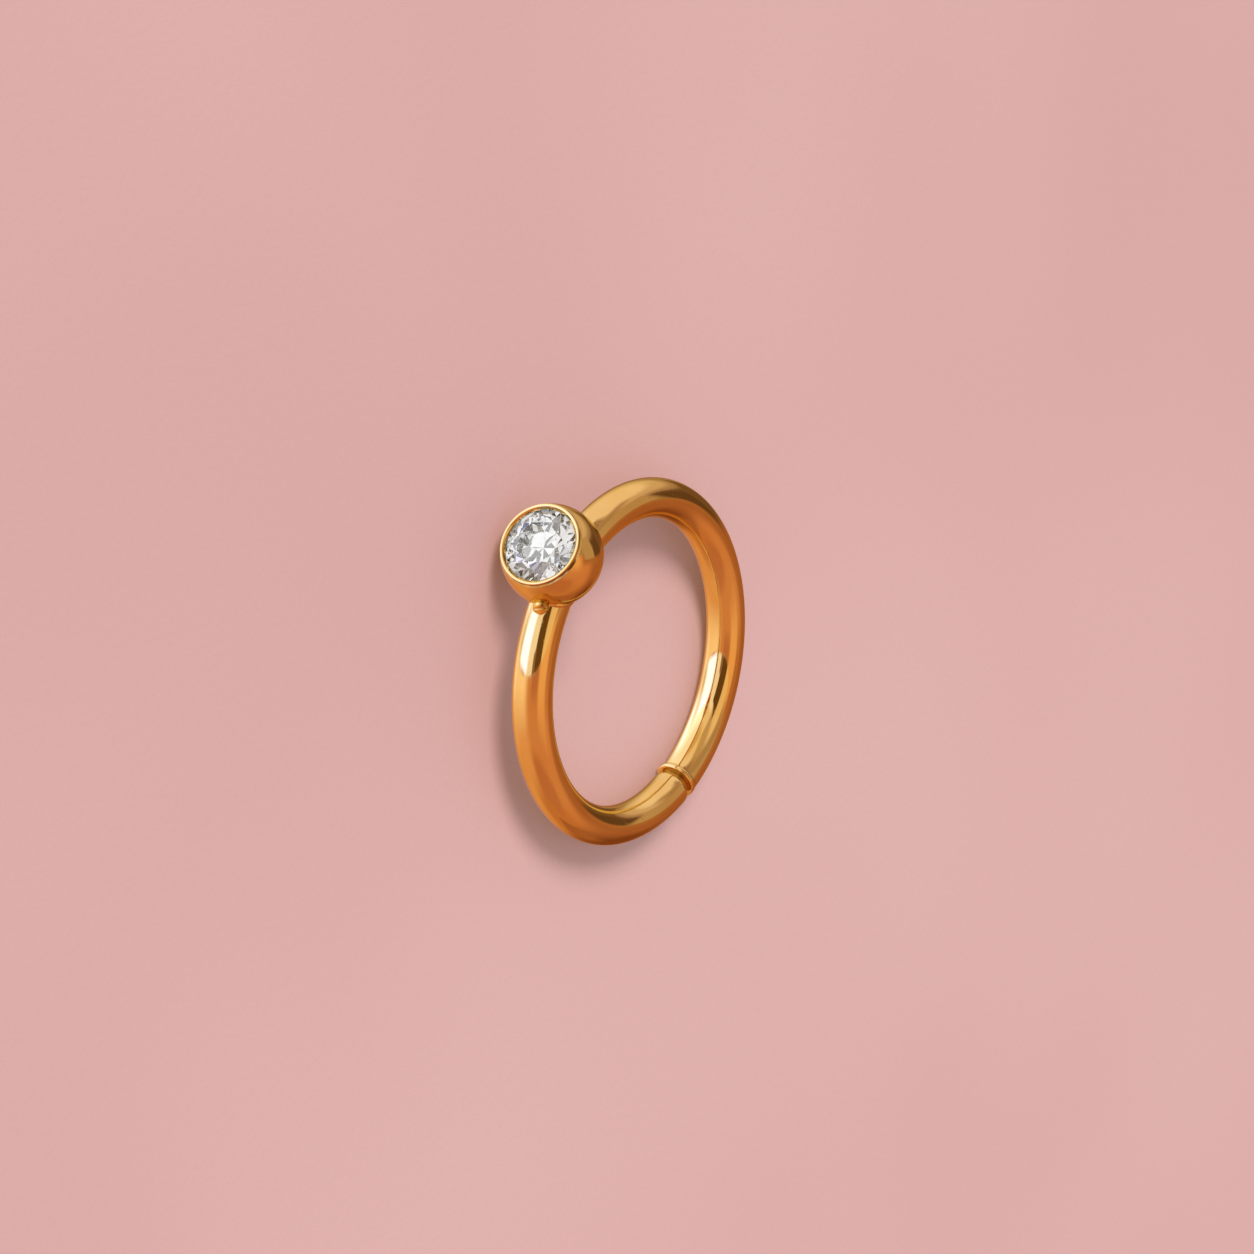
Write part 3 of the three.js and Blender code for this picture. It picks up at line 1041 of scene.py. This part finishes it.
@dataclass(frozen=True)
class SolderSeam(Part):
    """The solder round the wire where it enters the bead."""

    crease = 70.0
    side: Side  # which limb it holds
    wire: Wire = Wire()
    bezel: Bezel = Bezel()
    reach: float = 0.035  # how far the solder runs out along both surfaces
    sunk: float = 0.003  # how far its thin edges are let into them
    root: float = 0.05  # how deep it goes into the metal
    swell: float = 0.0  # how far it stands proud where it ran together into a ridge
    swell_from: float = 24.0  # where the ridge begins, in degrees from the wire's outside
    swell_in: float = 35.0  # how long it takes to rise
    swell_to: float = 150.0  # where the ridge ends
    swell_out: float = 45.0  # how long it takes to fall
    spread: float = 0.7  # how far the ridge spreads, as a share of its swell
    fill: float = 1.6  # how far its face is drawn out, as a share of its swell
    wobbles: tuple[Triple, ...] = ((3.0, 0.6, 0.18), (7.0, 0.0, 0.1))  # count, start and share
    painted_shade: float = 0.06  # painted shade on it, in the corner between wire and bead
    count: int = 180  # stations round the wire
    reach_of_bead: float = 30.0  # the furthest that the bead covers the hoop, in degrees
    halvings: int = 40  # steps in finding where wire and bead meet

    @property
    def name(self) -> str:
        """The piece's name."""
        return "solder_seam_" + self.side.name.lower()

    def meeting(self, turn: float) -> Vector:
        """Where one line along the wire meets the bead.

        Args:
            turn: Round the wire from its outside.

        Returns:
            The point on both surfaces.
        """
        outward, up = self.wire.radius * math.cos(turn), self.wire.radius * math.sin(turn)
        near, far = 0.0, math.radians(self.reach_of_bead)
        for _ in range(self.halvings):
            middle = (near + far) / 2
            point = self.wire.at(self.side.value * middle - math.pi / 2, outward, up)
            near, far = (middle, far) if self.bezel.off(point) < 0 else (near, middle)
        return self.wire.at(self.side.value * near - math.pi / 2, outward, up)

    def section(self, turn: float) -> list[Vector]:
        """The solder's section at one place round the wire.

        Args:
            turn: Round the wire from its outside.

        Returns:
            Its points: the open face from the wire to the bead, then the root in the metal.
        """
        corner = self.meeting(turn)
        angle = math.atan2(corner.y, corner.x)
        off_wire = self.wire.at(angle, math.cos(turn), math.sin(turn))
        off_wire = (off_wire - self.wire.at(angle, 0.0, 0.0)).normalized()
        off_bead = self.bezel.normal(corner)
        along_wire = (off_bead - off_wire * off_bead.dot(off_wire)).normalized()
        along_bead = (off_wire - off_bead * off_wire.dot(off_bead)).normalized()
        degrees = math.degrees(turn)
        begun = rise(self.swell_from, self.swell_from + self.swell_in, degrees)
        left = rise(self.swell_to, self.swell_to - self.swell_out, degrees)
        swell = self.swell * begun * left
        # it ran further here and less far there, in slow waves and quick ones round the wire
        waves = (share * math.sin(count * turn + start) for count, start, share in self.wobbles)
        reach = self.reach * sum(waves, 1.0) + swell * self.spread
        middle = (off_wire + off_bead).normalized()
        on_wire = corner + along_wire * reach - off_wire * self.sunk
        on_bead = corner + along_bead * reach - off_bead * self.sunk
        face = bow(on_wire, corner + middle * swell * self.fill, on_bead, steps=8)
        return face + [corner - middle * self.root]

    def shaped(self) -> Solid:
        """Runs the solder round the wire.

        Returns:
            The closed shape.
        """
        work = Stock()
        rings = []
        for i in range(self.count):
            section = self.section(2 * math.pi * i / self.count)
            rings.append([work.point(at, at, self.painted_shade) for at in section])
        skin(work.shape, rings + rings[:1])
        return work.shape

    def dress(self, piece: Piece) -> None:
        """Gives the solder its cast skin."""
        piece.data.materials.append(SEAM_GOLD.make())


@dataclass(frozen=True)
class Swell:
    """One section across the nub."""

    along: float  # place along the nub
    half: float  # half its width
    height: float  # above the wire
    fullness: float  # 1 for a ridge with flat sides, 2 for a round back


SWELLS = (
    Swell(-0.21, 0.08, 0.030, 2.0),
    Swell(-0.19, 0.13, 0.085, 2.0),
    Swell(-0.15, 0.175, 0.128, 2.0),
    Swell(-0.09, 0.205, 0.152, 2.0),
    Swell(-0.03, 0.220, 0.150, 2.0),
    Swell(0.02, 0.228, 0.128, 2.1),
    Swell(0.048, 0.228, 0.100, 2.2),
    Swell(0.064, 0.225, 0.086, 2.5),
    Swell(0.078, 0.220, 0.094, 3.0),
    Swell(0.10, 0.205, 0.088, 3.2),
    Swell(0.135, 0.170, 0.064, 3.2),
    Swell(0.17, 0.122, 0.039, 3.0),
    Swell(0.20, 0.066, 0.018, 3.0),
    Swell(0.222, 0.014, 0.003, 3.0),
)


@dataclass(frozen=True)
class SolderNub(Part):
    """The blob of solder that froze below the bead: a round lobe over a pointed facet."""

    name = "solder_nub"
    crease = 50.0
    wire: Wire = Wire()
    angle: float = -75.7  # of its middle, in degrees round the hoop from +X
    round: float = 14.0  # round the wire, in degrees from its outside to its upper side
    twist: float = 18.0  # of its point, in degrees
    fold: float = 0.064  # place of its crease along it
    root: float = 0.12  # how deep it is let into the wire
    root_width: float = 0.7  # width of the root, as a share of the section's
    in_crease: float = 0.8  # painted shade in the crease
    at_edge: float = 0.45  # painted shade at the edges, where it meets the wire
    across: int = 24  # points across it

    def section(self, swell: Swell) -> Outline:
        """One section across the nub.

        Args:
            swell: Its sizes.

        Returns:
            Pairs of place across and height over the wire: the back, then the root.
        """
        ring = []
        for k in range(self.across + 1):
            share = math.cos(math.pi * k / self.across)
            height = swell.height * (1 - abs(share) ** swell.fullness) ** (1 / swell.fullness)
            drop = (swell.half * share) ** 2 / (2 * self.wire.radius)
            ring.append((swell.half * share, height - drop))
        foot, sole = swell.half * self.root_width, -self.root - drop
        return ring + [(-foot, sole), (foot, sole)]

    def painted_shade(self, swell: Swell, aside: float) -> float:
        """Painted shade in the crease, at the edges and on the lee side of the lobe.

        Args:
            swell: The section.
            aside: Place across it.

        Returns:
            How much painted shade it gets.
        """
        crease = self.in_crease * rise(0.03, 0.0, abs(swell.along - self.fold))
        edge = self.at_edge * rise(0.75, 1.0, abs(aside) / swell.half)
        # painted shadow on the lobe's lee side, the side turned from the light
        lee = rise(-0.02, 0.07, aside) * rise(self.fold, self.fold - 0.03, swell.along)
        return max(crease, edge, lee)

    def shaped(self) -> Solid:
        """Sets the nub on the wire.

        Returns:
            The closed shape.
        """
        angle, lift = math.radians(self.angle), math.radians(self.round)
        outward = Vector((math.cos(angle), math.sin(angle), 0.0))
        proud = outward * math.cos(lift) + Vector((0.0, 0.0, math.sin(lift)))
        run = Vector((-math.sin(angle), math.cos(angle), 0.0))
        along = Quaternion(proud, math.radians(self.twist)) @ run
        across = proud.cross(along)
        foot = outward * self.wire.hoop + proud * self.wire.radius
        work = Stock()
        rings = []
        for swell in SWELLS:
            ring = []
            for aside, height in self.section(swell):
                at = foot + along * swell.along + across * aside + proud * height
                ring.append(work.point(at, at, self.painted_shade(swell, aside)))
            rings.append(ring)
        skin(work.shape, rings)
        return work.shape

    def dress(self, piece: Piece) -> None:
        """Gives the nub its cast skin and softens its lines.

        Args:
            piece: The nub.
        """
        rounder = piece.modifiers.new("soften", "SUBSURF")
        rounder.levels = rounder.render_levels = 2
        piece.data.materials.append(NUB_GOLD.make())


@dataclass(frozen=True)
class Brilliant(Part):
    """The round brilliant, cut facet by facet from a round blank."""

    name = "brilliant"
    slot = Slot.STONE
    stands_for = CadPart.STONE
    crease = None
    bezel: Bezel = Bezel()
    radius: float = 1.05  # of the girdle
    table: float = 0.6  # from the axis to the table's corners
    crown: float = 34.5  # angle of the crown's mains, in degrees
    pavilion: float = 40.8  # angle of the pavilion's mains, in degrees
    star: float = 0.5  # share of the way from table to girdle that the stars reach
    lower_half: float = 0.6  # share of the way from girdle to culet that the lower halves reach
    depth: float = 0.16  # of the girdle's front edge behind the rim
    girdle: float = 0.035  # thickness of the girdle
    fold: int = 8  # mains round the stone
    blank_sides: int = 96  # of the round blank
    blank_spare: float = 0.1  # how much longer the blank is at each end
    on_plane: float = 1e-6  # a point this near to a facet's plane lies in it
    one_point: float = 2e-5  # points this near to each other are one
    no_edge: float = 1e-5  # an edge this short is none

    @property
    def behind(self) -> float:
        """Height of the girdle's back edge."""
        return -self.depth - self.girdle

    def point(self, index: float, reach: float, height: float) -> Vector:
        """A point of the cut, counted round the stone's axis +Z in mains."""
        turn = 2 * math.pi * index / self.fold
        return Vector((reach * math.cos(turn), reach * math.sin(turn), height))

    def crown_height(self, reach: float) -> float:
        """Height of a crown main above a place on its own line."""
        return (self.radius - reach) * math.tan(math.radians(self.crown)) - self.depth

    def pavilion_height(self, reach: float) -> float:
        """Height of a pavilion main at a place on its own line."""
        return self.behind - (self.radius - reach) * math.tan(math.radians(self.pavilion))

    def facets(self) -> list[list[Vector]]:
        """Three points on the plane of every facet.

        Returns:
            The planes: the table, then for each main its own and those of its neighbours.
        """
        half = math.cos(math.pi / self.fold)
        edge = self.table * half
        star = edge + (self.radius - edge) * self.star
        low = self.radius * (1 - self.lower_half)
        at_table = (self.table, self.crown_height(self.table))
        at_star = (star, self.crown_height(star * half))
        at_front = (self.radius, -self.depth)
        at_back = (self.radius, self.behind)
        at_low = (low, self.pavilion_height(low * half))
        cuts = [((0, at_table), (3, at_table), (6, at_table))]  # the table, by three corners
        for i in range(self.fold):
            before, after = i - 0.5, i + 0.5
            cuts.append(((i, at_front), (before, at_star), (after, at_star)))
            cuts.append(((i, at_table), (i + 1, at_table), (after, at_star)))
            cuts.append(((i, at_back), (before, at_low), (after, at_low)))
            for beside in (before, after):
                cuts.append(((i, at_front), (beside, at_front), (beside, at_star)))
                cuts.append(((i, at_back), (beside, at_back), (beside, at_low)))
        return [[self.point(index, *level) for index, level in cut] for cut in cuts]

    def blank(self) -> Solid:
        """The round blank before it is cut.

        Returns:
            A closed cylinder that holds the whole stone.
        """
        shape = bmesh.new()
        rings = []
        low = self.pavilion_height(0.0) - self.blank_spare
        high = self.crown_height(self.table) + self.blank_spare
        turns = [self.fold * k / self.blank_sides for k in range(self.blank_sides)]
        for height in (low, high):
            rings.append([shape.verts.new(self.point(i, self.radius, height)) for i in turns])
        skin(shape, rings)
        return shape

    def grind(self, shape: Solid, plane: Sequence[Vector]) -> None:
        """Grinds one facet flat.

        Args:
            shape: The stone so far.
            plane: Three points on the facet.
        """
        first, second, third = plane
        normal = (second - first).cross(third - first).normalized()
        if normal.dot(first - Vector((0.0, 0.0, self.behind))) < 0:
            normal = -normal
        whole = shape.verts[:] + shape.edges[:] + shape.faces[:]
        cut = bmesh.ops.bisect_plane(
            shape,
            geom=whole,
            dist=self.on_plane,
            plane_co=first,
            plane_no=normal,
            clear_outer=True,
        )
        edges = [e for e in cut["geom_cut"] if isinstance(e, bmesh.types.BMEdge)]
        open_edges = [e for e in edges if e.is_valid and e.is_boundary]
        if len(open_edges) > 2:
            bmesh.ops.holes_fill(shape, edges=open_edges, sides=0)

    def shaped(self) -> Solid:
        """Cuts the stone and drops it into its seat.

        Returns:
            The closed shape.
        """
        shape = self.blank()
        for plane in self.facets():
            self.grind(shape, plane)
        bmesh.ops.remove_doubles(shape, verts=shape.verts, dist=self.one_point)
        bmesh.ops.dissolve_degenerate(shape, edges=shape.edges, dist=self.no_edge)
        spin = Vector((0.0, 0.0, 1.0)).rotation_difference(self.bezel.axis)
        for vert in shape.verts:
            vert.co = spin @ vert.co - Vector((0.0, self.bezel.distance, 0.0))
        bmesh.ops.recalc_face_normals(shape, faces=shape.faces)
        return shape

    def dress(self, piece: Piece) -> None:
        """Polishes the stone."""
        piece.data.materials.append(PolishedStone().make())


# ---- The studio.


@dataclass(frozen=True)
class View:
    """The camera, placed as if the hoop stood upright on its edge."""

    bench: Bench
    turned: float = 54.584  # how far the hoop is turned from edge on, in degrees
    above: float = 17.480  # the camera's height over the horizon, in degrees
    bezel_at: float = 134.2  # the bezel's place round the standing hoop, in degrees
    distance: float = 110.084  # from the hoop's centre to the camera
    lens: float = 114.53
    sensor: float = 36.0
    shift: tuple[float, float] = (-0.00411, 0.02795)  # as shares of the picture's width
    clip: tuple[float, float] = (0.005, 5.0)  # nearest and furthest that it sees, in metres

    def from_standing(self, across: float, up: float, out: float) -> Vector:
        """Turns a direction of the standing hoop, whose axis is out, into the table's frame."""
        spin = Quaternion((0.0, 0.0, 1.0), -math.radians(self.bezel_at + 90.0))
        return self.bench.turn @ (spin @ Vector((across, up, out)))

    @property
    def toward(self) -> Vector:
        """The direction from the pin to the camera.

        Returns:
            The direction in the table's frame.
        """
        side, above = math.radians(self.turned), math.radians(self.above)
        level = math.cos(above)
        return self.from_standing(-math.sin(side) * level, math.sin(above), math.cos(side) * level)

    @property
    def upright(self) -> Vector:
        """The standing hoop's own upright."""
        return self.from_standing(0.0, 1.0, 0.0)

    def set_up(self) -> None:
        """Puts the camera in place."""
        data = bpy.data.cameras.new("camera")
        data.sensor_width = self.sensor
        data.lens = self.lens
        data.shift_x, data.shift_y = self.shift
        data.clip_start, data.clip_end = self.clip
        camera = bpy.data.objects.new("camera", data)
        bpy.context.scene.collection.objects.link(camera)
        back = self.toward.normalized()
        right = self.upright.cross(back).normalized()
        turn = Matrix((right, back.cross(right), back)).transposed().to_4x4()
        place = Matrix.Translation(self.bench.centre + back * self.distance * MM)
        camera.matrix_world = place @ turn
        bpy.context.scene.camera = camera


@dataclass(frozen=True)
class Card:
    """A card, flag or glow that hangs round the pin. Its angles are in degrees."""

    name: str
    bearing: float  # its middle round the upright, from the camera to the right
    height: float  # its middle over the horizon
    half_width: float
    half_height: float
    edge: tuple[float, float]  # how softly it ends, sideways and upwards
    light: Colour  # what it shines with


# The rose table as the gold mirrors it, out to the horizon.
TABLE: Colour = (0.66, 0.315, 0.175)
TABLE_CARDS = (
    Card("far depth", 0, -75, 200, 22, (1, 30), (0.57, 0.255, 0.125)),
    Card("under the hoop", 15, -60, 50, 16, (20, 14), (0.53, 0.225, 0.13)),
    Card("left of the table", -92, -28, 62, 36, (44, 28), (0.78, 0.45, 0.265)),
    Card("rose behind", -163, -14, 24, 32, (26, 30), (0.66, 0.37, 0.42)),
    Card("right of the table", 144, -34, 44, 60, (24, 16), (0.40, 0.165, 0.09)),
    Card("shadow on the table", 152, -48, 32, 11, (34, 14), (0.22, 0.075, 0.04)),
    Card("table by the window", -85, 0, 48, 20, (34, 38), (1.08, 0.96, 0.86)),
    Card("lamp on the table", -118, -3, 12, 9, (14, 18), (1.10, 1.16, 1.60)),
    Card("warm strip", 52, -6, 22, 16, (20, 24), (0.89, 0.56, 0.31)),
    Card("under the flag", 10, -3, 17, 9, (12, 14), (0.53, 0.24, 0.15)),
    Card("end of the strip", 98, -3, 20, 12, (14, 12), (0.43, 0.21, 0.10)),
)

# The pale dome over the table, from its foot to its top, whose heights are in degrees.
DOME: tuple[Colour, Colour] = ((0.30, 0.21, 0.18), (0.93, 0.89, 0.93))
DOME_RISE = (0.0, 45.0)
DOME_CARDS = (
    Card("scrim", -92, 55, 56, 34, (28, 20), (1.08, 1.22, 1.62)),
    Card("pale gold in front", 8, 52, 36, 26, (22, 20), (0.90, 0.80, 0.68)),
    Card("low gold in front", -14, 68, 24, 12, (24, 14), (0.70, 0.53, 0.27)),
    Card("right dimness", 82, 16, 26, 26, (14, 18), (0.43, 0.33, 0.24)),
    Card("olive in front", 42, 42, 27, 12, (12, 12), (0.56, 0.44, 0.29)),
    Card("high dimness", 75, 52, 13, 15, (12, 12), (0.38, 0.26, 0.20)),
    Card("window's glow", -85, 38, 46, 14, (24, 18), (1.35, 1.66, 2.45)),
    Card("left glow", -116, 14, 38, 16, (24, 14), (1.05, 1.2, 1.9)),
    Card("left lamp", -129, 23, 11, 13, (11, 14), (1.7, 1.95, 4.6)),
    Card("olive patch", -104, 9, 9, 6, (10, 7), (0.80, 0.86, 0.90)),
    Card("end of the window", -25, 20, 30, 20, (10, 6), (1.0, 1.10, 1.40)),
    Card("window", -68, 20.5, 25, 18, (14, 6), (1.8, 2.0, 4.9)),
    Card("side card", 45, 10, 17, 16, (12, 14), (0.90, 0.76, 0.55)),
    Card("dark flag", 11.5, 17, 18, 16, (5, 2), (0.14, 0.08, 0.025)),
    Card("foot of the flag", -7, 7, 6, 7, (4, 5), (0.28, 0.20, 0.15)),
)

# What stands on the table, across the soft horizon.
HORIZON = (-1.0, 2.5)
STANDING_CARDS = (
    Card("haze over the box", 126, 26, 28, 7, (16, 10), (0.67, 0.57, 0.52)),
    Card("dark box's haze", 142, 9, 32, 12, (10, 10), (0.42, 0.31, 0.27)),
    Card("dark box", 138, 4.5, 29, 10, (4, 5), (0.18, 0.115, 0.085)),
    Card("box's darkest side", 121, 1.5, 12, 9, (5, 6), (0.13, 0.075, 0.045)),
    Card("pale panel", 96, 7, 13.5, 15, (5, 3), (0.51, 0.40, 0.29)),
)

# The white room that the stone gathers, from low to high, and the grey shapes in it.
ROOM: tuple[Colour, Colour] = ((0.78, 0.745, 0.71), (1.0, 0.985, 0.965))
ROOM_RISE = (-40.0, 30.0)
ROOM_CARDS = (
    Card("far wall", 168, 20, 20, 70, (2, 2), (0.34, 0.34, 0.35)),
    Card("grey wall", 112, 20, 15, 60, (2, 2), (0.38, 0.38, 0.39)),
    Card("beige wall", 62, 5, 15, 30, (2, 2), (0.62, 0.52, 0.46)),
    Card("near strip", 20, 45, 12, 50, (2, 2), (0.32, 0.32, 0.33)),
    Card("left strip", -62, 30, 17, 50, (2, 2), (0.31, 0.31, 0.32)),
    Card("far strip", -122, 30, 15, 50, (2, 2), (0.36, 0.35, 0.36)),
    Card("camera's shade", 0, 17, 9, 9, (3, 3), (0.20, 0.20, 0.21)),
)


class Surroundings(Wires):
    """The room as light from every direction, hung with cards round the standing hoop."""

    def __init__(self, tree: bpy.types.NodeTree, view: View) -> None:
        """Works out the bearing and height that light comes from, in degrees.

        Args:
            tree: The world's node tree.
            view: The camera, whose upright the cards hang from.
        """
        super().__init__(tree)
        up = view.upright.normalized()
        front = (view.toward - up * view.toward.dot(up)).normalized()
        looked = self.node("TexCoord").outputs["Generated"]
        axes = (front, up.cross(front), up)
        parts = [self.vector("DOT_PRODUCT", looked, tuple(axis)) for axis in axes]
        self.bearing = self.math("DEGREES", self.math("ARCTAN2", parts[1], parts[0]))
        self.height = self.math("DEGREES", self.math("ARCSINE", parts[2]))

    def within(self, off: Socket, half: float, edge: float) -> Socket:
        """Whether an angle off a card's middle is still on the card, from 0 to 1."""
        return self.ramp(self.math("ABSOLUTE", off), half - edge / 2, half + edge / 2, 1.0, 0.0)

    def hang(self, cards: Sequence[Card], under: Value) -> Value:
        """Hangs cards in front of what is there.

        Args:
            cards: The cards, the furthest first.
            under: The colour behind them.

        Returns:
            The colour with the cards.
        """
        for card in cards:
            aside = self.math("SUBTRACT", self.bearing, card.bearing)
            aside = self.math("WRAP", aside, 180.0, -180.0)
            over = self.math("SUBTRACT", self.height, card.height)
            wide = self.within(aside, card.half_width, card.edge[0])
            tall = self.within(over, card.half_height, card.edge[1])
            under = self.blend(self.math("MULTIPLY", wide, tall), under, card.light)
        return under

    def gold_sees(self) -> Value:
        """What the gold mirrors: a rose table to the horizon, a pale dome and the cards.

        Returns:
            The colour from every direction.
        """
        table = self.hang(TABLE_CARDS, TABLE)
        dome = self.hang(DOME_CARDS, self.blend(self.ramp(self.height, *DOME_RISE), *DOME))
        horizon = self.ramp(self.height, *HORIZON)
        return self.hang(STANDING_CARDS, self.blend(horizon, table, dome))

    def stone_sees(self) -> Value:
        """What the stone gathers: a white room with a few grey shapes."""
        return self.hang(ROOM_CARDS, self.blend(self.ramp(self.height, *ROOM_RISE), *ROOM))


@dataclass(frozen=True)
class Studio:
    """The soft light round the pin, and the pale card under it."""

    view: View
    sky: float = 0.62  # what lights the table evenly
    backdrop: Colour = (0.69, 0.405, 0.395)  # what shows past the table's edge
    again: Colour = (0.85, 1.15, 1.8)  # gain of light that met the gold before, against red corners
    again_most: float = 0.95  # the most that such light is
    key_strength: float = 2.1
    key_colour: Colour = (1.0, 0.975, 0.94)
    key_bearing: float = 205.0  # where the soft key comes from, in degrees clockwise from +Y
    key_height: float = 42.0  # over the table, in degrees
    key_angle: float = 22.0  # how wide the key is, in degrees
    floor_size: float = 3.0  # side of the table's card, in metres
    floor_squares: int = 8  # along that side
    bounces: int = 20  # how often light may turn inside the stone
    mirrored: int = 16  # how often the gold may mirror itself

    def bring(self, thing: Piece) -> None:
        """Brings a thing in, but keeps it out of what the gold and the stone mirror.

        Args:
            thing: The thing.
        """
        thing.visible_glossy = False
        thing.visible_transmission = False
        bpy.context.scene.collection.objects.link(thing)

    def lay_floor(self) -> None:
        """Lays the pale card."""
        shape = bmesh.new()
        count = self.floor_squares
        bmesh.ops.create_grid(shape, x_segments=count, y_segments=count, size=self.floor_size / 2)
        mesh = bpy.data.meshes.new("table_card")
        shape.to_mesh(mesh)
        shape.free()
        mesh.materials.append(RoseCard().make())
        floor = bpy.data.objects.new("table_card", mesh)
        self.bring(floor)

    def hang_key(self) -> None:
        """Hangs the soft key light."""
        data = bpy.data.lights.new("key", "SUN")
        data.energy = self.key_strength
        data.angle = math.radians(self.key_angle)
        data.color = self.key_colour
        key = bpy.data.objects.new("key", data)
        bearing, height = math.radians(self.key_bearing), math.radians(self.key_height)
        level = Vector((math.sin(bearing), math.cos(bearing), 0.0)) * math.cos(height)
        toward = level + Vector((0.0, 0.0, math.sin(height)))
        key.rotation_mode = "QUATERNION"
        key.rotation_quaternion = toward.to_track_quat("Z", "Y")
        self.bring(key)

    def light_world(self) -> None:
        """Sets what each kind of surface gathers from the room."""
        world = bpy.data.worlds.new("studio")
        world.use_nodes = True
        bpy.context.scene.world = world
        room = Surroundings(world.node_tree, self.view)
        kind = room.node("LightPath").outputs
        gold = room.gold_sees()
        dimmed = room.vector("MINIMUM", gold, (self.again_most,) * 3)
        dimmed = room.vector("MULTIPLY", dimmed, self.again)
        # depths are whole numbers: over 1.5 is from the second on, under 0.5 is none
        met_before = room.math("GREATER_THAN", kind["Glossy Depth"], 1.5)
        gold = room.blend(met_before, gold, dimmed)
        direct = room.math("LESS_THAN", kind["Diffuse Depth"], 0.5)
        direct = room.math("MULTIPLY", direct, kind["Is Glossy Ray"])
        colour = room.blend(kind["Is Camera Ray"], (self.sky,) * 3, self.backdrop)
        colour = room.blend(direct, colour, gold)
        colour = room.blend(kind["Is Transmission Ray"], colour, room.stone_sees())
        light = room.node("Background", {"Color": colour, "Strength": 1.0})
        room.node("OutputWorld", {"Surface": light.outputs[0]})

    def set_up(self) -> None:
        """Lays the floor, hangs the light and sets how the picture is developed."""
        self.lay_floor()
        self.hang_key()
        self.light_world()
        scene = bpy.context.scene
        scene.view_settings.view_transform = "Standard"
        scene.cycles.max_bounces = scene.cycles.transmission_bounces = self.bounces
        scene.cycles.glossy_bounces = self.mirrored


def main() -> None:
    """Builds the pin on the bench, piece by piece, and the studio round it."""
    logging.basicConfig(level=logging.INFO, format="%(name)s: %(message)s")
    bench = Bench.from_record(frame["record"])
    parts = (
        SocketLimb(),
        PostLimb(),
        Bezel(),
        SolderSeam(Side.SOCKET),
        SolderSeam(Side.POST, swell=0.05),
        SolderNub(),
        Brilliant(),
    )
    for part in parts:
        piece = part.build(bench)
        part.dress(piece)
        log.info("%s: %d faces", piece.name, len(piece.data.polygons))
    view = View(bench)
    view.set_up()
    Studio(view).set_up()


if __name__ == "__main__":
    main()
